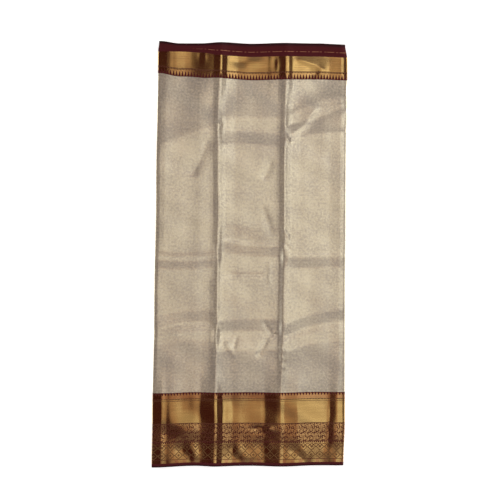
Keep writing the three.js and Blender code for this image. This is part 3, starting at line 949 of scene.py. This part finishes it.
def wide_dark(u, v):
    """What is woven in wine on the gold, from the field downwards."""
    dotted = dots(u, v, 186.0, 188.6, DOT_PITCH, DOT_HALF)
    lines = either(*(band(v, *ends) for ends in WINE_LINES))
    vine = below(abs(v - 95.0 - sine(u, CREEPER_REPEAT) * 10.0), 1.1, 0.8)
    rosettes = []
    for start, middle in ROSETTES:
        x, y = centred(u, CREEPER_REPEAT, start), v - middle
        edge = flower(x, y, 7.4, 6)
        rosettes.append(above(edge, 0.0, 0.8) * above(abs(edge - 2.9), 0.6, 0.7))
    bent = v + sine(u, CREEPER_REPEAT / 2) * 2.2
    leaves = []
    for start, slope, middle in LEAVES:
        leaves.append(above(leaf(centred(u, LEAF_PITCH, start), bent - middle, 3.9, 3.2, slope), 0.0, 0.3))
    filling = below(radius(centred(u, 5.75), centred(bent, 5.75, 1.0)), 2.0, 0.8)
    creeper = (1 - either(vine, *rosettes, *leaves, filling)) * band(v, 70.0, 119.0) * CREEPER_WINE
    row = dots(u, v, 64.6, 68.0, 5.8, 1.7)
    across, down = centred(u, DIAMOND_WIDTH), centred(v, DIAMOND_HEIGHT, 20.0)
    diamond = abs(across) * (2 / DIAMOND_WIDTH) + abs(down) * (2 / DIAMOND_HEIGHT)
    net = below(abs(diamond - 0.92), 0.14, 0.07)
    small = above(flower(across, down, 3.6, 4), 0.0, 0.8)
    lattice = either(net, small) * band(v, 19.8, 64.0) * LATTICE_WINE
    arc = radius(centred(u, DIAMOND_WIDTH, DIAMOND_WIDTH / 2), v - 52.0) - 9.6
    scallops = below(abs(arc), 0.7, 0.8) * band(v, 53.0, 64.0)
    return either(dotted, lines, creeper, row, lattice, scallops)


def wide_rosy(u, v):
    """Copper-red in the spikes and the strip under them, less in the creeper and the lattice, and in
    patches at the edge, where a sine along u is high."""
    strip = band(v, 189.0, 206.0, 2.0) * RED_STRIP
    ground = either(band(v, 66.0, 119.0, 3.0) * RED_CREEPER, band(v, 19.0, 66.0, 3.0) * RED_LATTICE)
    edge = band(v, 8.0, 19.0) * above(sine(u, DIAMOND_WIDTH), 0.2, 0.8) * RED_EDGE
    return either(strip, ground, edge)


# %% [markdown]
# ## The narrow border
# From the field upwards it has spikes, a row of dots, a thin wine line, gold with faint lines, a dark
# gap and one bright line next to the selvedge.

# %% Draw the narrow border's masks
FAINT_PITCH, FAINT_WINE, RED_SPIKES = 5.6, 0.04, 0.3  # mm, share of wine, share of copper-red thread


def narrow_gold(u, v):
    """Spikes, then solid gold up to the dark gap, and the bright line beyond it."""
    solid = band(v, 1094.0, 1134.6) + band(v, 1135.8, 1139.5)
    return either(spikes(u, v, 1080.0, 1094.5), solid)


def narrow_dark(u, v):
    """The dotted row, the faint lines and the thin wine line."""
    dotted = dots(u, v, 1096.8, 1099.4, DOT_PITCH, DOT_HALF)
    faint = below(abs(centred(v, FAINT_PITCH, 1102.0)), 0.5, 0.7) * band(v, 1101.0, 1134.0) * FAINT_WINE
    return either(dotted, faint, band(v, 1100.0, 1101.0))


def narrow_rosy(u, v):
    """The spikes and the strip up to the dotted row."""
    return band(v, 1076.0, 1097.0, 2.0) * RED_SPIKES


# %% [markdown]
# ## The field
# The field is a pale silk with an all-over pattern of flowers, leaves and vines in fine gilt thread.
# Alternate columns are moved by half a repeat, which is how a loom keeps such a pattern even. From
# some way off the threads run into each other, and what the eye sees is a grain: small knots, within
# wider clouds, where more or less of the gold shows.

# %% Draw the field's pattern
FIELD_ACROSS, FIELD_ALONG = 22.0, 25.0  # mm of one repeat
FLOWER_REACH, RING_INSET, HEART, BUD_REACH = 7.6, 2.3, 1.6, 4.2  # mm
VINE_SWING, VINE_HALF, LEAF_ASIDE = 2.1, 0.7, 2.8  # mm
LEAF_SHAPE = (2.5, 1.3, 0.7)  # length and width in mm, slope


def field_pattern(u, v):
    """Flowers in a half-drop repeat, with a waving vine and leaves between the columns."""
    column = (u * (1 / FIELD_ACROSS)).step("FLOOR")
    x = centred(u, FIELD_ACROSS)
    y = centred(v + column * (FIELD_ALONG / 2), FIELD_ALONG)
    outline = flower(x, y, FLOWER_REACH, 6)
    petals = above(outline, 0.0, 0.9) * above(abs(outline - RING_INSET), 0.6, 0.8)
    heart = below(radius(x, y), HEART, 0.8)
    bud_y = centred(v + column * (FIELD_ALONG / 2) + FIELD_ALONG / 2, FIELD_ALONG)
    bud = above(flower(x, bud_y, BUD_REACH, 4, math.pi / 4), 0.0, 0.8)
    aside = centred(u, FIELD_ACROSS, FIELD_ACROSS / 2)
    off = aside - sine(v, FIELD_ALONG) * VINE_SWING
    vine = below(abs(off), VINE_HALF, 0.8)
    leaf_y = centred(v, FIELD_ALONG / 3)
    leaves = above(leaf(abs(off) - LEAF_ASIDE, leaf_y, *LEAF_SHAPE), 0.0, 0.4)
    return either(petals, heart, bud, vine, leaves)


# %% Mix the field's silk and gold
MAUVE_SILK, PALE_GOLD = (0.72, 0.665, 0.565), (1.0, 0.93, 0.73)
# for each kind of unevenness: how many to a mm, how steep, and what is taken away
CLOUDS_TO_A_MM, CLOUD_GAIN, CLOUD_MIDDLE = 0.013, 1.8, 0.9
KNOTS_TO_A_MM, KNOT_GAIN, KNOT_MIDDLE = 0.17, 4.0, 1.6
FIELD_METAL, FIELD_ROUGH, FIELD_DEPTH = 0.65, 0.23, 0.013  # the last in mm
# what the pattern adds to the colour's mask, to metal and roughness, and pattern and threads to the relief
PATTERN_GOLD, PATTERN_METAL, PATTERN_ROUGH, PATTERN_RELIEF, FIELD_THREAD_RELIEF = 0.5, 0.08, -0.02, 0.7, 0.3


def field_finish():
    """Mauve-grey silk with the pattern in pale gold, which mirrors a little. Knots of a few mm, within
    clouds a hand wide, show more or less gold: two random numbers, steepened and added up."""
    paint, tree, u, v = finish_tree("field")
    pattern = field_pattern(u, v)
    threads = ribs(u, v)
    clouds = uneven(tree, u * CLOUDS_TO_A_MM, v * CLOUDS_TO_A_MM, 1.0) * CLOUD_GAIN - CLOUD_MIDDLE
    knots = uneven(tree, u * KNOTS_TO_A_MM, v * KNOTS_TO_A_MM, 2.0) * KNOT_GAIN - KNOT_MIDDLE + clouds
    colour = blend(tree, pattern * PATTERN_GOLD + knots, MAUVE_SILK, PALE_GOLD)
    metal = pattern * PATTERN_METAL + FIELD_METAL
    roughness = pattern * PATTERN_ROUGH + FIELD_ROUGH
    relief_term = pattern * PATTERN_RELIEF + threads * FIELD_THREAD_RELIEF
    connect(tree, colour, metal, roughness, relief_term, FIELD_DEPTH)
    return paint


# %% [markdown]
# ## The selvedges
# Both are plain wine silk. The upper one has a thin line of gold that is broken here and there, and
# both are painted darker along their outer edges, as painted shade.

# %% Mix all finishes
GOLD_LINE, LINE_START, BREAKS = (1152.6, 1153.8), 120.0, (37.0, 11.3)  # places, and two wave lengths, in mm
# painted shade: the selvedge's wine turns darker under the first place and over the second, in mm
SHADE_UNDER, SHADE_OVER = 4.0, 1172.0  # mm
LINE_GOLD, LINE_METAL, LINE_ROUGH = 0.7, 0.7, -0.2  # the gold line's colour mask, metal and added roughness
SELVEDGE_DEPTH = 0.016  # mm
# mm between two lines of a border's tissue, and how strongly they show
WIDE_LINES, NARROW_LINES = (3.1, 0.04), (2.8, 0.03)


def selvedge_finish():
    """Wine silk, painted darker at the outer edges as painted shade, with a line of gold along v that
    shows where the sum of two sine waves along u is high enough."""
    paint, tree, u, v = finish_tree("selvedge")
    breaks = above(sine(u, BREAKS[0]) + sine(u, BREAKS[1]), -0.5, 0.6)
    line = band(v, *GOLD_LINE, 0.8) * breaks * above(u, LINE_START, 60.0) * LINE_GOLD
    threads = ribs(u, v)
    # painted shade: the wine darkens towards both outer edges
    silk = blend(tree, either(above(v, SHADE_OVER, 6.0), below(v, SHADE_UNDER, 3.0)), WINE, EDGE_SHADE_WINE)
    colour = blend(tree, line, silk, RED_GOLD)
    connect(tree, colour, line * LINE_METAL, line * LINE_ROUGH + SILK_ROUGH, threads, SELVEDGE_DEPTH)
    return paint


finishes = {
    "selvedge": selvedge_finish(),
    "wide_border": border_finish("wide_border", wide_gold, wide_dark, wide_rosy, *WIDE_LINES),
    "narrow_border": border_finish("narrow_border", narrow_gold, narrow_dark, narrow_rosy, *NARROW_LINES),
    "field": field_finish(),
}
for name, paint in finishes.items():
    print(name, len(paint.node_tree.nodes), "nodes")

# %% [markdown]
# ## Dress the pieces
# Each piece of the top layer takes one finish. The walks beneath cross all five stretches, so each of
# their faces takes the finish of the stretch that it lies in.

# %% Give each face its finish
for name, piece in top_pieces.items():
    piece.data.materials.append(finishes[SLOTS[name]])
starts = np.array([start for start, _ in STRETCHES.values()])
kinds = list(finishes)
of_stretch = np.array([kinds.index(SLOTS[name]) for name in STRETCHES])
for piece in (upper_walk, lower_walk):
    mesh = piece.data
    for kind in kinds:
        mesh.materials.append(finishes[kind])
    first_corner = np.empty(len(mesh.polygons), np.int32)
    mesh.polygons.foreach_get("loop_start", first_corner)
    sides = np.empty(len(mesh.polygons), np.int32)
    mesh.polygons.foreach_get("loop_total", sides)
    corners = np.empty(2 * len(mesh.loops), np.float32)
    mesh.uv_layers["cloth"].uv.foreach_get("vector", corners)
    across = corners.reshape(-1, 2)[:, 1] / MM
    middle = np.add.reduceat(across, first_corner) / sides
    stretch = np.clip(np.searchsorted(starts, middle) - 1, 0, len(starts) - 1)
    mesh.polygons.foreach_set("material_index", of_stretch[stretch].astype(np.int32))
    print(piece.name, "faces by finish:", dict(zip(kinds, np.bincount(of_stretch[stretch]).tolist())))

# %% [markdown]
# ## The whole cloth
# The same cloth lies folded in every piece, and each piece's flat size is the length of its walk times
# the width of its stretch. The lengths of the three walks add up to the whole cloth's length.

# %% Add up the cloth's length
for name, piece in top_pieces.items():
    start, end = STRETCHES[name]
whole = top_length[-1] + upper_walk_length + lower_walk_length
print("the whole cloth is", round(whole), "mm long and", round(CLOTH_WIDTH), "mm wide")

# %% [markdown]
# ## The size
# The surfaces have to fill the imported model's box, so the box around them is printed.

# %% Measure and finish
low = np.full(3, np.inf)
high = -low
for piece in [*top_pieces.values(), upper_walk, lower_walk]:
    points = np.empty(3 * len(piece.data.vertices))
    piece.data.vertices.foreach_get("co", points)
    low = np.minimum(low, points.reshape(-1, 3).min(axis=0))
    high = np.maximum(high, points.reshape(-1, 3).max(axis=0))
print("visual box in mm:", np.round(low * 1000, 1), np.round(high * 1000, 1))
